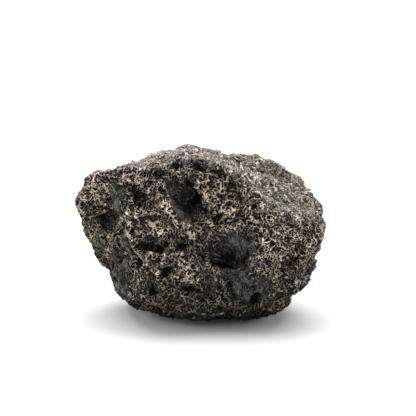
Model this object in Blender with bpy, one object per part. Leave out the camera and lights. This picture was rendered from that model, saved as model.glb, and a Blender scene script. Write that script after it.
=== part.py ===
"""A stony meteorite fragment, 70 mm across: one solid stone that stands on a worn flat foot.

The body is a soft meeting of flat facets inside the outline of its best face. Thumbprint
hollows are then pressed into it, and ribs and knobs are raised on it. Last, its underside is
worn away around a small flat foot.
Lengths are in millimetres about the stone's heart until the mesh is made in metres.
"""

import math
import random
from dataclasses import dataclass

import bmesh
import bpy
import numpy as np
from mathutils import Vector, noise
from mathutils.bvhtree import BVHTree

# ---------------------------------------------------------------- driving dimensions
MM = 0.001
GRID = 52  # squares along each edge of the cube that is blown up into the stone
TRIANGLES = 9400  # what is left of them once the flatter ground is thinned out
FACE_TILT_DEG = 15.0  # the best face looks this far above level
FOOT_DEPTH_MM = 23.0  # from the heart down to the worn facet it stands on
EDGE_SHARPNESS = 18.0  # how closely the body keeps to its facets at their edges
LEAN_BACK = 0.45  # how far the outline falls back above the heart, per mm of height
LEAN_OUT = 0.2  # how far it comes forward below it
OUTLINE_SMOOTHING_DEG = 3.0  # how widely the outline's corners are rounded
LUMPS_MM = [(13.0, 0.8), (5.0, 0.5), (2.4, 0.35)]  # size and height of the rounded lumps
CRESTS_MM = [(9.5, 1.1), (4.6, 0.8)]  # size and height of the sharp crests between hollows
CREST_BIAS = 0.3  # where the crests' ground lies, as a share of their height
CREST_OFFSET = 7.3  # keeps the crests from following the lumps
CRISPNESS = 0.4  # how far crests and pits are drawn away from the ground around them
CRISP_ROUNDS = 10  # rounds of smoothing that find that ground
WORN_SMOOTH = 0.8  # how much of what stands proud of the worn underside is gone
RIM_WOBBLE = 0.13  # how far a hollow's rim strays from its oval, as a share
RIM_WOBBLE_MM = 5.5
SLACK_MM = 2.0  # how far past its own size a hollow still reaches, seen edge on
FAR_MM = 200.0  # well clear of the stone, where a look at it starts
LEVEL_MM = 0.05  # anything nearer the floor than this belongs to the foot
HIDDEN_SEED = 5
HIDDEN_LEVELS = (-0.5, 0.98)  # sines of the lowest and highest look at a scattered hollow
HIDDEN_LEAN = 0.35
CLEAR_OF_FRONT = 0.45  # cosine of the nearest that a scattered hollow comes to the best face
CRUST_COLOUR = (0.035, 0.032, 0.03, 1.0)
CRUST_ROUGHNESS = 0.72

# The outline of the best face, anticlockwise from its right end: (across, up).
OUTLINE_MM = [
    (34.6, 3.1), (33.4, 8.5), (30.6, 13.6), (24.6, 18.4), (16.8, 21.0), (7.7, 22.2),
    (0.6, 24.1), (-4.4, 25.3), (-9.4, 24.9), (-17.4, 20.8), (-24.8, 17.5), (-30.4, 16.8),
    (-34.4, 9.4), (-33.0, 6.0), (-29.8, -3.7), (-27.4, -8.4), (-24.6, -11.5), (-24.0, -14.4),
    (-21.4, -17.8), (-16.3, -20.8), (-11.5, -22.4), (8.2, -23.3), (13.0, -23.7), (21.0, -21.4),
    (28.4, -13.8), (31.2, -9.9), (33.9, -1.6),
]  # fmt: skip


@dataclass(frozen=True)
class Facet:
    """A flat side of the body: the way it looks, and its distance from the heart."""

    azimuth: float  # degrees: 0 looks to the front, 90 to the right
    elevation: float
    distance: float


FACETS = {
    "best face": Facet(-3, 19, 20.6),
    "left face": Facet(-57, 1, 26.2),
    "right face": Facet(78, 31, 28.3),
    "right shoulder": Facet(73, 50, 25.0),
    "crown": Facet(180, 83, 22.7),
    "under front": Facet(4, -30, 22.6),
    "under front, low": Facet(10, -56, 21.6),
    "under left": Facet(-56, -40, 24.0),
    "under right": Facet(54, -30, 27.0),
    "under right, low": Facet(80, -52, 24.6),
    "back": Facet(170, 6, 23.5),
    "back right": Facet(120, -4, 27.0),
    "back left": Facet(-126, 14, 25.5),
    "back shoulder": Facet(160, 48, 22.0),
    "under back": Facet(-172, -42, 22.0),
}

# The underside is worn back to these around its foot: in front, on the left and on the right.
UNDERCUTS = [Facet(0, -77, 22.9), Facet(-70, -76, 25.2), Facet(75, -76, 25.8)]


@dataclass(frozen=True)
class Press:
    """A hollow pressed into the stone, or with a negative depth a rib or knob raised on it.

    It is found on the stone by looking at it from (azimuth, elevation), at (across, up).
    """

    across: float
    up: float
    half_width: float
    half_height: float
    depth: float
    turn: float = 0.0  # degrees, anticlockwise as seen
    lean: tuple = (0.0, 0.0)  # where the deepest point lies, as shares of the half sizes
    softness: float = 1.3  # 1 gives a crisp rim, 2 a soft one
    azimuth: float = 0.0
    elevation: float = FACE_TILT_DEG


@dataclass(frozen=True)
class Scatter:
    """A kind of hollow that is strewn over the sides and the back."""

    count: int
    half_sizes: tuple
    squatness: tuple
    depths: tuple  # as shares of the half size
    softness: float


HIDDEN_HOLLOWS = [
    Scatter(20, (5.5, 8.5), (0.55, 0.9), (0.2, 0.32), 1.15),
    Scatter(34, (2.2, 3.8), (0.6, 1.0), (0.3, 0.5), 1.1),
]

FRONT_PRESSES = [
    # the long thumbprint under the crown, steep on its right, and the rib along its left
    Press(-3.8, 9.7, 4.6, 8.2, 5.4, turn=35, lean=(0.55, 0.15), softness=1.15),
    Press(-8.2, 7.4, 1.9, 7.0, -1.1, turn=38, softness=1.5),
    # the notch tucked under the crest, and the shallow one beside it
    Press(-0.6, 18.7, 3.6, 1.7, 2.6, turn=-14, lean=(0.0, 0.5), softness=1.05),
    Press(-6.4, 18.9, 2.2, 1.3, 1.4, turn=6, lean=(0.0, 0.4), softness=1.05),
    # the great thumbprint low on the right, its arched roof, and the tongue below it
    Press(8.4, -4.4, 8.8, 6.8, 5.8, turn=10, lean=(0.05, -0.5), softness=1.15),
    Press(1.6, -5.4, 3.4, 3.0, 1.0, turn=20, lean=(0.4, 0.0), softness=1.3),
    Press(8.8, -15.6, 6.2, 6.0, 1.9, turn=-8, lean=(0.2, 0.3), softness=1.4),
    # the dip up on the right, with a pit at its far end, and one below it
    Press(7.0, 10.0, 4.2, 3.0, 0.5, turn=40, lean=(0.5, 0.1), softness=1.9),
    Press(10.6, 12.4, 1.8, 2.8, 1.3, turn=10, lean=(0.3, 0.0)),
    Press(14.6, 8.4, 2.6, 1.8, 0.9, turn=-40, lean=(0.2, 0.0)),
    Press(6.2, 3.8, 3.0, 1.9, 1.6, lean=(0.0, 0.4)),
    # the ledge hollow at mid left, and the pit above it
    Press(-12.8, -2.4, 5.6, 3.0, 3.2, turn=-6, lean=(0.0, -0.4), softness=1.05),
    Press(-5.4, -3.0, 3.2, 1.4, 1.1, turn=8, lean=(0.0, -0.2)),
    Press(-17.0, 10.4, 2.2, 3.8, 2.6, turn=4, lean=(0.2, 0.3), softness=1.1),
    # the wide hollow of the left face with its pit, and the valley down the left edge
    Press(-25.4, 6.4, 8.0, 8.2, 2.6, turn=10, lean=(-0.3, -0.1), softness=1.4),
    Press(-27.4, 4.6, 3.0, 3.2, 1.8, turn=30, lean=(0.0, 0.1), softness=1.2),
    Press(-21.9, -9.4, 4.6, 7.8, 2.6, turn=8, lean=(0.2, 0.0), softness=1.3),
    # low on the left
    Press(-13.4, -14.6, 2.4, 4.4, 2.4, turn=20, lean=(0.0, 0.1), softness=1.1),
    Press(-9.4, -9.8, 2.8, 2.2, 2.2, turn=-20, lean=(0.2, 0.2), softness=1.1),
    Press(-17.2, -7.4, 1.6, 2.4, 1.2),
    Press(-2.9, -15.2, 4.0, 1.7, 2.0, turn=4, lean=(0.0, 0.5), softness=1.05),
    # low on the right
    Press(22.0, -8.6, 4.6, 2.4, 2.2, turn=-20, lean=(0.1, 0.2), softness=1.1),
    Press(26.2, -7.2, 2.4, 2.0, 1.6, lean=(0.0, 0.3)),
    Press(15.4, -17.6, 2.3, 3.4, 2.2, turn=-10, lean=(-0.2, 0.2), softness=1.1),
    Press(18.2, -13.0, 1.8, 1.6, 1.0),
    Press(31.0, -9.9, 1.4, 3.2, 1.2, turn=-30),
    Press(22.2, 2.9, 2.4, 2.2, 1.1, lean=(0.0, 0.3)),
    # the knob between the two thumbprints
    Press(-3.7, -9.0, 3.8, 5.0, -2.2, turn=24, lean=(0.2, 0.0), softness=1.4),
    # the ridge along the crest on the right, and the valley behind it
    Press(24.2, 5.4, 2.2, 10.0, -1.0, turn=36, softness=1.5),
    Press(19.4, 12.2, 3.6, 6.0, 1.3, turn=50, softness=1.3),
    # on the crown
    Press(-5.9, 22.2, 3.0, 4.0, 1.1, softness=1.3),
]


def view_axes(azimuth, elevation):
    """Right, up and out of a view, the last pointing from the stone to whoever looks."""
    a, e = math.radians(azimuth), math.radians(elevation)
    out = np.array([math.sin(a) * math.cos(e), -math.cos(a) * math.cos(e), math.sin(e)])
    right = np.array([math.cos(a), math.sin(a), 0.0])
    return right, np.cross(out, right), out


def hidden_presses():
    """Thumbprints and pits over the sides and the back, none of them on the best face."""
    dice = random.Random(HIDDEN_SEED)
    front = view_axes(0, FACE_TILT_DEG)[2]
    for kind in HIDDEN_HOLLOWS:
        placed = 0
        while placed < kind.count:
            azimuth = dice.uniform(0, 360)
            elevation = math.degrees(math.asin(dice.uniform(*HIDDEN_LEVELS)))
            if view_axes(azimuth, elevation)[2] @ front > CLEAR_OF_FRONT:
                continue
            size = dice.uniform(*kind.half_sizes)
            yield Press(
                across=0.0,
                up=0.0,
                half_width=size,
                half_height=size * dice.uniform(*kind.squatness),
                depth=size * dice.uniform(*kind.depths),
                turn=dice.uniform(0, 180),
                lean=(dice.uniform(-HIDDEN_LEAN, HIDDEN_LEAN), dice.uniform(-HIDDEN_LEAN, HIDDEN_LEAN)),
                softness=kind.softness,
                azimuth=azimuth,
                elevation=elevation,
            )
            placed += 1


def cube_ball():
    """Directions and quads of a cube blown up into a ball, its squares evened out."""
    ball = bmesh.new()
    bmesh.ops.create_cube(ball, size=2.0)
    bmesh.ops.subdivide_edges(ball, edges=ball.edges[:], cuts=GRID - 1, use_grid_fill=True)
    ball.verts.ensure_lookup_table()
    corners = np.array([v.co for v in ball.verts])
    quads = [[v.index for v in face.verts] for face in ball.faces]
    ball.free()
    even = np.tan(corners * math.pi / 4)
    return even / np.linalg.norm(even, axis=1)[:, None], quads


def outline_radius(angles):
    """The outline's distance from the heart at each angle, its corners a little rounded."""
    points = np.array(OUTLINE_MM)
    at = np.arctan2(points[:, 1], points[:, 0])
    reach = np.hypot(points[:, 0], points[:, 1])
    spread = math.radians(OUTLINE_SMOOTHING_DEG)
    offsets = np.linspace(-spread, spread, 5)
    return np.mean([np.interp(angles + o, at, reach, period=2 * math.pi) for o in offsets], axis=0)


def facet_closeness(directions):
    """What the facets add to the soft meeting, for each direction."""
    total = np.zeros(len(directions))
    for facet in FACETS.values():
        normal = view_axes(facet.azimuth, facet.elevation)[2]
        total += (np.maximum(directions @ normal, 0) / facet.distance) ** EDGE_SHARPNESS
    return total


def body_points(directions):
    """The body in each direction: a soft meeting of its facets and of its outline."""
    right, up, out = view_axes(0, FACE_TILT_DEG)
    across, high = directions @ right, directions @ up
    flat = np.hypot(across, high)
    outline = outline_radius(np.arctan2(high, across))
    fall = np.where(high > 0, LEAN_BACK, LEAN_OUT) * high
    leaning = directions - fall[:, None] * out
    near_rim = (flat / outline) ** EDGE_SHARPNESS
    radius = (near_rim + facet_closeness(leaning)) ** (-1 / EDGE_SHARPNESS)
    # The facets round the rim off a little, so it is drawn out again to the outline.
    in_plane = directions - (directions @ out)[:, None] * out
    rim = (in_plane - fall[:, None] * out) / flat[:, None]
    rounded = (outline**-EDGE_SHARPNESS + facet_closeness(rim)) ** (-1 / EDGE_SHARPNESS)
    radius *= 1 + (outline / rounded - 1) * flat**4
    return leaning * np.minimum(radius, outline / flat)[:, None]


def wobble(points):
    """How far the rim of a hollow strays from its oval at each point, as a share."""
    return RIM_WOBBLE * np.array([noise.noise(Vector(p / RIM_WOBBLE_MM)) for p in points])


def bowl(x, y, lean):
    """0 at a hollow's deepest point and 1 at its rim, for places given in half sizes."""
    from_deepest = np.stack([x - lean[0], y - lean[1]], axis=-1)
    along = from_deepest @ np.array(lean)
    room = 1 - lean[0] ** 2 - lean[1] ** 2
    square = (from_deepest**2).sum(axis=-1)
    return (along + np.sqrt(along**2 + room * square)) / room


def place_on(stone, press):
    """The point of the stone that a press is found at, and the way the stone faces there."""
    right, up, out = view_axes(press.azimuth, press.elevation)
    start = Vector(press.across * right + press.up * up + FAR_MM * out)
    hit = stone.ray_cast(start, Vector(-out))[0]
    if hit is None:
        raise ValueError(f"{press} misses the stone")
    reach = 0.6 * min(press.half_width, press.half_height) + 1.0
    near = stone.find_nearest_range(hit, reach)
    normal = sum((normal for _, normal, _, _ in near), Vector())
    return np.array(hit), np.array(normal.normalized())


def pressed(points, stone, press):
    """The points after one hollow is pressed in, along the way the stone faces there."""
    centre, normal = place_on(stone, press)
    right = view_axes(press.azimuth, press.elevation)[0]
    right = right - (right @ normal) * normal
    right /= np.linalg.norm(right)
    up = np.cross(normal, right)
    turn = math.radians(press.turn)
    long_axis = math.cos(turn) * right + math.sin(turn) * up
    short_axis = math.cos(turn) * up - math.sin(turn) * right
    away = points - centre
    x = away @ long_axis / press.half_width
    y = away @ short_axis / press.half_height
    size = max(press.half_width, press.half_height)
    inside = (np.hypot(x, y) < 1 + RIM_WOBBLE) & (np.abs(away @ normal) < size + SLACK_MM)
    share = np.zeros(len(points))
    reach = bowl(x[inside], y[inside], press.lean) * (1 + wobble(points[inside]))
    share[inside] = (1 - reach**2).clip(0, 1) ** press.softness
    return points - press.depth * share[:, None] * normal


def roughened(points):
    """The points with the low lumps and dips that no tool gives a name to."""
    heights = np.zeros(len(points))
    for size, height in LUMPS_MM:
        heights += height * np.array([noise.noise(Vector(p / size)) for p in points])
    for size, height in CRESTS_MM:
        swell = np.array([noise.noise(Vector(p / size + CREST_OFFSET)) for p in points])
        heights += height * (CREST_BIAS - 2 * np.abs(swell))
    outward = points / np.linalg.norm(points, axis=1)[:, None]
    return points + heights[:, None] * outward


def crisped(points, quads):
    """The points with crests and pits drawn away from the ground around them."""
    edges = np.array([(quad[i - 1], quad[i]) for quad in quads for i in range(4)])
    count = np.bincount(edges[:, 0], minlength=len(points))[:, None]
    ground = points
    for _ in range(CRISP_ROUNDS):
        total = np.zeros_like(points)
        np.add.at(total, edges[:, 0], ground[edges[:, 1]])
        ground = total / count
    return points + CRISPNESS * (points - ground)


def worn(points):
    """The points with the underside worn back around the foot, and all but smooth there."""
    for facet in UNDERCUTS:
        normal = view_axes(facet.azimuth, facet.elevation)[2]
        proud = np.maximum(points @ normal - facet.distance, 0)
        points = points - WORN_SMOOTH * proud[:, None] * normal
    return points


def stone_points():
    """Every vertex of the stone and its quads, standing on its foot with its heart over the origin."""
    directions, quads = cube_ball()
    points = body_points(directions)
    bare = BVHTree.FromPolygons(points.tolist(), quads)
    points = roughened(points)
    for press in [*hidden_presses(), *FRONT_PRESSES]:
        points = pressed(points, bare, press)
    points = worn(crisped(points, quads))
    points[:, 2] = np.maximum(points[:, 2] + FOOT_DEPTH_MM, 0)
    return points * MM, quads


def crust_material():
    """Dark stone with a dull, slightly worn crust."""
    material = bpy.data.materials.new("crust")
    material.use_nodes = True
    shader = material.node_tree.nodes["Principled BSDF"]
    shader.inputs["Base Color"].default_value = CRUST_COLOUR
    shader.inputs["Roughness"].default_value = CRUST_ROUGHNESS
    shader.inputs["Metallic"].default_value = 0.0
    return material


def thinned(stone):
    """The stone's mesh with its flatter ground thinned out."""
    thin = stone.modifiers.new("thin", "DECIMATE")
    thin.ratio = TRIANGLES / (2 * len(stone.data.polygons))
    thin.use_collapse_triangulate = True
    seen = stone.evaluated_get(bpy.context.evaluated_depsgraph_get())
    mesh = bpy.data.meshes.new_from_object(seen)
    stone.modifiers.remove(thin)
    return mesh


def settle(mesh):
    """Levels the foot and centres the stone over the origin; gives how far it was moved."""
    points = np.array([vertex.co for vertex in mesh.vertices])
    points[points[:, 2] < LEVEL_MM * MM, 2] = 0
    middle = (points.min(axis=0) + points.max(axis=0)) / 2
    points[:, :2] -= middle[:2]
    for vertex, point in zip(mesh.vertices, points):
        vertex.co = point
    return middle[:2]


def main():
    """Clears the scene and models the stone in it."""
    for leftover in list(bpy.data.objects):
        bpy.data.objects.remove(leftover)
    points, quads = stone_points()
    mesh = bpy.data.meshes.new("meteorite")
    mesh.from_pydata(points.tolist(), [], quads)
    stone = bpy.data.objects.new("meteorite", mesh)
    bpy.context.scene.collection.objects.link(stone)
    stone.data = thinned(stone)
    settle(stone.data)
    stone.data.shade_smooth()
    stone.data.materials.append(crust_material())


if __name__ == "__main__":
    main()
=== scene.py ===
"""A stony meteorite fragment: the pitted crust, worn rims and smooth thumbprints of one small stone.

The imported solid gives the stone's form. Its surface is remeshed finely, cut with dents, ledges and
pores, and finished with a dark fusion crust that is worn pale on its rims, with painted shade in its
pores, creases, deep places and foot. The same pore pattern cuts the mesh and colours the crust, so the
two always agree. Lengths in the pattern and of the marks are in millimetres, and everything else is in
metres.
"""

from __future__ import annotations

import logging
import math
from dataclasses import dataclass
from enum import Enum

import bpy
import numpy as np
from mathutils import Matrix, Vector, noise
from mathutils.bvhtree import BVHTree


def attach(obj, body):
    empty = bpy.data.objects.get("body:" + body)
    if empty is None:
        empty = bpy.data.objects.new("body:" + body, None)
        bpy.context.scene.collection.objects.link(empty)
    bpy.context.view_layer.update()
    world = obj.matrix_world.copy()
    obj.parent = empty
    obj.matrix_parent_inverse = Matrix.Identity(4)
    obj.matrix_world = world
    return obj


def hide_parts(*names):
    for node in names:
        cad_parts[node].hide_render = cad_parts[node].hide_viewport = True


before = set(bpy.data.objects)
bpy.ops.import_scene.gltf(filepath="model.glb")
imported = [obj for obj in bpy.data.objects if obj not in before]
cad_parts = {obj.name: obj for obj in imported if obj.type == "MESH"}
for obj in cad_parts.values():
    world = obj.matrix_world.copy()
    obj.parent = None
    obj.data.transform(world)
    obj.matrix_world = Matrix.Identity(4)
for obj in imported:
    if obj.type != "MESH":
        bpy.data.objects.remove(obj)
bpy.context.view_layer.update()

LOG = logging.getLogger("meteorite")
MM = 0.001
IMAGE_SIDE = 416
HEART = (0.0002, -0.0007, 0.023)  # the middle of the stone, that its marks and the camera are placed about
FACE_TILT = 15.0  # how far the stone's best face looks above level, in degrees

Span = tuple[float, float]  # the values that a share runs between: where it is 0, and where it is 1


class Sum(Enum):
    """What a Math node works out."""

    ADD = "ADD"
    SUBTRACT = "SUBTRACT"
    MULTIPLY = "MULTIPLY"
    DIVIDE = "DIVIDE"
    ABSOLUTE = "ABSOLUTE"
    LARGER = "MAXIMUM"
    SMALLER = "MINIMUM"
    FRACTION = "FRACT"


class VectorSum(Enum):
    """What a Vector Math node works out."""

    ADD = "ADD"
    SUBTRACT = "SUBTRACT"
    SCALE = "SCALE"
    DOT = "DOT_PRODUCT"
    NORMALIZE = "NORMALIZE"


class Kind(Enum):
    """The kind of value that the points of a mesh keep."""

    NUMBER = "FLOAT"
    VECTOR = "FLOAT_VECTOR"


class Kept(Enum):
    """What each point of the stone keeps, by the name that it is kept under."""

    REST = "rest"  # where it lay before the pores were cut, in millimetres
    LIE = "lie"  # how deep in a hollow it lies, which side it is on, and how smooth it is
    OUT = "out"  # the way that the stone faces there
    CUT = "cut"  # how deep the dents were cut there, in millimetres
    DIP = "dip"  # how far it lies below the points around it, in millimetres


@dataclass(frozen=True)
class Signal:
    """A socket's output that can be used in sums, as a plain number is."""

    graph: Graph
    socket: bpy.types.NodeSocket

    def __add__(self, other: Feed) -> Signal:
        """The sum of two values."""
        return self.graph.maths(Sum.ADD, self, other)

    def __radd__(self, other: float) -> Signal:
        """The sum, with the number first."""
        return self.graph.maths(Sum.ADD, other, self)

    def __sub__(self, other: Feed) -> Signal:
        """The difference of two values."""
        return self.graph.maths(Sum.SUBTRACT, self, other)

    def __rsub__(self, other: float) -> Signal:
        """The difference, with the number first."""
        return self.graph.maths(Sum.SUBTRACT, other, self)

    def __mul__(self, other: Feed) -> Signal:
        """The product of two values."""
        return self.graph.maths(Sum.MULTIPLY, self, other)

    def __rmul__(self, other: float) -> Signal:
        """The product, with the number first."""
        return self.graph.maths(Sum.MULTIPLY, other, self)

    def __truediv__(self, other: Feed) -> Signal:
        """The quotient of two values."""
        return self.graph.maths(Sum.DIVIDE, self, other)

    def __rtruediv__(self, other: float) -> Signal:
        """The quotient, with the number first."""
        return self.graph.maths(Sum.DIVIDE, other, self)

    def __neg__(self) -> Signal:
        """The value with its sign turned."""
        return self.graph.maths(Sum.MULTIPLY, self, -1.0)

    def __abs__(self) -> Signal:
        """The value without its sign."""
        return self.graph.maths(Sum.ABSOLUTE, self)

    def larger(self, other: Feed) -> Signal:
        """The larger of two values."""
        return self.graph.maths(Sum.LARGER, self, other)

    def smaller(self, other: Feed) -> Signal:
        """The smaller of two values."""
        return self.graph.maths(Sum.SMALLER, self, other)

    def fraction(self) -> Signal:
        """The part of the value that follows its point."""
        return self.graph.maths(Sum.FRACTION, self)

    def step(self, low: float, high: float) -> Signal:
        """Runs smoothly from 0 where the value is low to 1 where it is high.

        Args:
            low: The value that gives 0.
            high: The value that gives 1; it may be the smaller of the two.

        Returns:
            The share, from 0 to 1.
        """
        if low > high:
            return 1.0 - self.step(high, low)
        settings = {"interpolation_type": "SMOOTHSTEP"}
        sockets = {"Value": self, "From Min": low, "From Max": high}
        return self.graph.add("ShaderNodeMapRange", settings, sockets)

    def ridge(self, middle: float, half_width: float) -> Signal:
        """Falls evenly to both sides of a value.

        Args:
            middle: The value that gives 1.
            half_width: How far from it the result is 0.

        Returns:
            The height of the ridge, which goes on falling below 0.
        """
        return 1.0 - abs(self - middle) / half_width

    def plus(self, other: Feed) -> Signal:
        """The sum of two vectors."""
        return self.graph.vector(VectorSum.ADD, {0: self, 1: other})

    def minus(self, other: Feed) -> Signal:
        """The difference of two vectors."""
        return self.graph.vector(VectorSum.SUBTRACT, {0: self, 1: other})

    def dot(self, other: Feed) -> Signal:
        """How far a vector reaches along another, where that one's length is 1."""
        return self.graph.vector(VectorSum.DOT, {0: self, 1: other})

    def unit(self) -> Signal:
        """The vector made 1 long."""
        return self.graph.vector(VectorSum.NORMALIZE, {0: self})

    def scaled(self, by: Feed) -> Signal:
        """The vector multiplied by a number."""
        return self.graph.vector(VectorSum.SCALE, {0: self, "Scale": by})

    def towards(self, way: tuple) -> Signal:
        """A vector along a way, as long as the value."""
        return self.graph.vector(VectorSum.SCALE, {0: way, "Scale": self})

    def part(self, axis: str) -> Signal:
        """The vector's "X", "Y" or "Z"."""
        return self.graph.add("ShaderNodeSeparateXYZ", {}, {0: self}, axis)

    def mix(self, a: Feed, b: Feed) -> Signal:
        """Mixes two colours, the value being the share of the second.

        Args:
            a: The colour where the value is 0.
            b: The colour where it is 1.

        Returns:
            The mixed colour.
        """
        return self.graph.add("ShaderNodeMix", {"data_type": "RGBA"}, {0: self, 6: a, 7: b}, 2)

    def noise(self, size: float, detail: float = 2.0, output: str = "Fac") -> Signal:
        """Reads a soft random pattern at the place that the vector gives, in millimetres.

        Args:
            size: The size of its spots, in millimetres.
            detail: How many finer octaves it has.
            output: "Fac" for a value about 0.5, or "Color" for three of them.

        Returns:
            The pattern.
        """
        sockets = {"Vector": self, "Scale": 1.0 / size, "Detail": detail, "Roughness": 0.55}
        return self.graph.add("ShaderNodeTexNoise", {}, sockets, output)


Feed = Signal | float | int | tuple | Vector


class Graph:
    """A node tree, of a material or of a mesh, that is written as expressions."""

    def __init__(self, tree: bpy.types.NodeTree) -> None:
        """Keeps the tree and empties it.

        Args:
            tree: The node tree to fill.
        """
        self.tree = tree
        tree.nodes.clear()

    def add(
        self,
        kind: str,
        settings: dict[str, object] | None = None,
        sockets: dict[str | int, Feed] | None = None,
        output: str | int = 0,
    ) -> Signal:
        """Adds one node.

        Args:
            kind: The node's type.
            settings: Its properties, which are set before its sockets.
            sockets: What its inputs take, by name or number: a signal or a constant.
            output: The output to return.

        Returns:
            That output of the node.
        """
        node = self.tree.nodes.new(kind)
        for name, setting in (settings or {}).items():
            setattr(node, name, setting)
        for name, feed in (sockets or {}).items():
            if isinstance(feed, Signal):
                self.tree.links.new(feed.socket, node.inputs[name])
            else:
                node.inputs[name].default_value = feed
        return Signal(self, node.outputs[output] if len(node.outputs) else None)

    def maths(self, operation: Sum, a: Feed, b: Feed = 0.0) -> Signal:
        """Adds a Math node.

        Args:
            operation: What it works out.
            a: Its first value.
            b: Its second value.

        Returns:
            The result.
        """
        return self.add("ShaderNodeMath", {"operation": operation.value}, {0: a, 1: b})

    def vector(self, operation: VectorSum, sockets: dict[str | int, Feed]) -> Signal:
        """Adds a Vector Math node.

        Args:
            operation: What it works out.
            sockets: What its inputs take.

        Returns:
            The resulting vector, or value where the operation gives one.
        """
        output = "Value" if operation is VectorSum.DOT else "Vector"
        return self.add("ShaderNodeVectorMath", {"operation": operation.value}, sockets, output)


class MeshGraph(Graph):
    """The node tree of a mesh, which moves the mesh's points and keeps values on them."""

    def known(self, name: Kept) -> Signal:
        """The vector that the points keep under a name."""
        settings = {"data_type": Kind.VECTOR.value}
        return self.add("GeometryNodeInputNamedAttribute", settings, {"Name": name.value})

    def blurred(self, vector: Signal, rounds: int) -> Signal:
        """A vector evened out with its neighbours' over some rounds."""
        sockets = {"Value": vector, "Iterations": rounds}
        return self.add("GeometryNodeBlurAttribute", {"data_type": Kind.VECTOR.value}, sockets)

    def moved(self, mesh: Signal, socket: str, vector: Signal) -> Signal:
        """A mesh whose points are moved, by an "Offset" or to a "Position"."""
        return self.add("GeometryNodeSetPosition", {}, {"Geometry": mesh, socket: vector})

    def store(self, mesh: Signal, name: Kept, value: Signal, kind: Kind = Kind.VECTOR) -> Signal:
        """Keeps a value on every point of a mesh.

        Args:
            mesh: The mesh.
            name: The name that the value is kept under.
            value: The value.
            kind: What kind of value it is.

        Returns:
            The mesh that keeps it.
        """
        settings = {"data_type": kind.value, "domain": "POINT"}
        sockets = {"Geometry": mesh, "Name": name.value, "Value": value}
        return self.add("GeometryNodeStoreNamedAttribute", settings, sockets)


class FinishGraph(Graph):
    """The node tree of a new material."""

    def __init__(self, name: str) -> None:
        """Starts the material.

        Args:
            name: Its name.
        """
        self.material = bpy.data.materials.new(name)
        self.material.use_nodes = True
        super().__init__(self.material.node_tree)

    def known(self, name: Kept) -> Signal:
        """The vector that the points keep under a name."""
        return self.add("ShaderNodeAttribute", {"attribute_name": name.value}, {}, "Vector")

    def known_number(self, name: Kept) -> Signal:
        """The number that the points keep under a name."""
        return self.add("ShaderNodeAttribute", {"attribute_name": name.value}, {}, "Fac")

    def surface(self, sockets: dict[str | int, Feed]) -> bpy.types.Material:
        """Gives the material its surface.

        Args:
            sockets: What the surface's inputs take.

        Returns:
            The finished material.
        """
        shader = self.add("ShaderNodeBsdfPrincipled", {}, sockets)
        self.add("ShaderNodeOutputMaterial", {}, {"Surface": shader})
        return self.material


@dataclass(frozen=True)
class Lie:
    """How a place lies on the stone.

    Attributes:
        rest: Where it lay before the pores were cut, in millimetres.
        hollow: How deep it lies below the ground around it, in millimetres.
        lee: How much it is on the lee side, which faces up, from 0 to 1: its crust is finer, and its paler
            colours are partly painted top light.
        under: How much it faces down, from 0 to 1.
        floor: How much it is the smooth floor of a hollow, from 0 to 1.
    """

    rest: Signal
    hollow: Signal
    lee: Signal
    under: Signal
    floor: Signal

    EDGE_SIZE = 2.6  # the size of the bumps in the outline of a smooth floor, in millimetres
    EDGE_DETAIL = 4.0  # how many finer octaves they have
    EDGE_RANGE = 1.8  # how far they push that outline, as a share of how smooth the floor is
    FLOOR_SPAN = (0.1, 1.1)  # the sums of both where a floor starts, and is whole
    LEE_LOSS = 0.6  # how much less smooth a floor is on the lee side

    @classmethod
    def read(cls, graph: MeshGraph | FinishGraph) -> Lie:
        """Works out how a place lies from what the points there keep.

        Args:
            graph: The tree that is added to.

        Returns:
            How the place lies.
        """
        rest, lie = graph.known(Kept.REST), graph.known(Kept.LIE)
        side = lie.part("Y")
        lee = side.larger(0.0)
        smooth = lie.part("Z") - lee * cls.LEE_LOSS
        ragged = (rest.noise(cls.EDGE_SIZE, cls.EDGE_DETAIL) - 0.5) * cls.EDGE_RANGE
        return cls(
            rest=rest,
            hollow=lie.part("X"),
            lee=lee,
            under=(-side).larger(0.0),
            floor=(smooth + ragged).step(*cls.FLOOR_SPAN),
        )


@dataclass(frozen=True)
class Relief:
    """The crust's pattern at a place: its depth in millimetres, and shares from 0 to 1.

    Attributes:
        depth: How deep the mesh is cut.
        rim: The rims around the pores.
        pit: The floors of the pores.
        sunk: The insides of the wide pores and of the bowls.
        lip: The edge of a ledge.
        crease: The foot of a ledge.
        swirl: The crests of the folds in a smooth hollow.
        grain: The furrows that run down a smooth hollow.
        streak: The furrows of the lee side.
    """

    depth: Signal
    rim: Signal
    pit: Signal
    sunk: Signal
    lip: Signal
    crease: Signal
    swirl: Signal
    grain: Signal
    streak: Signal


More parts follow.
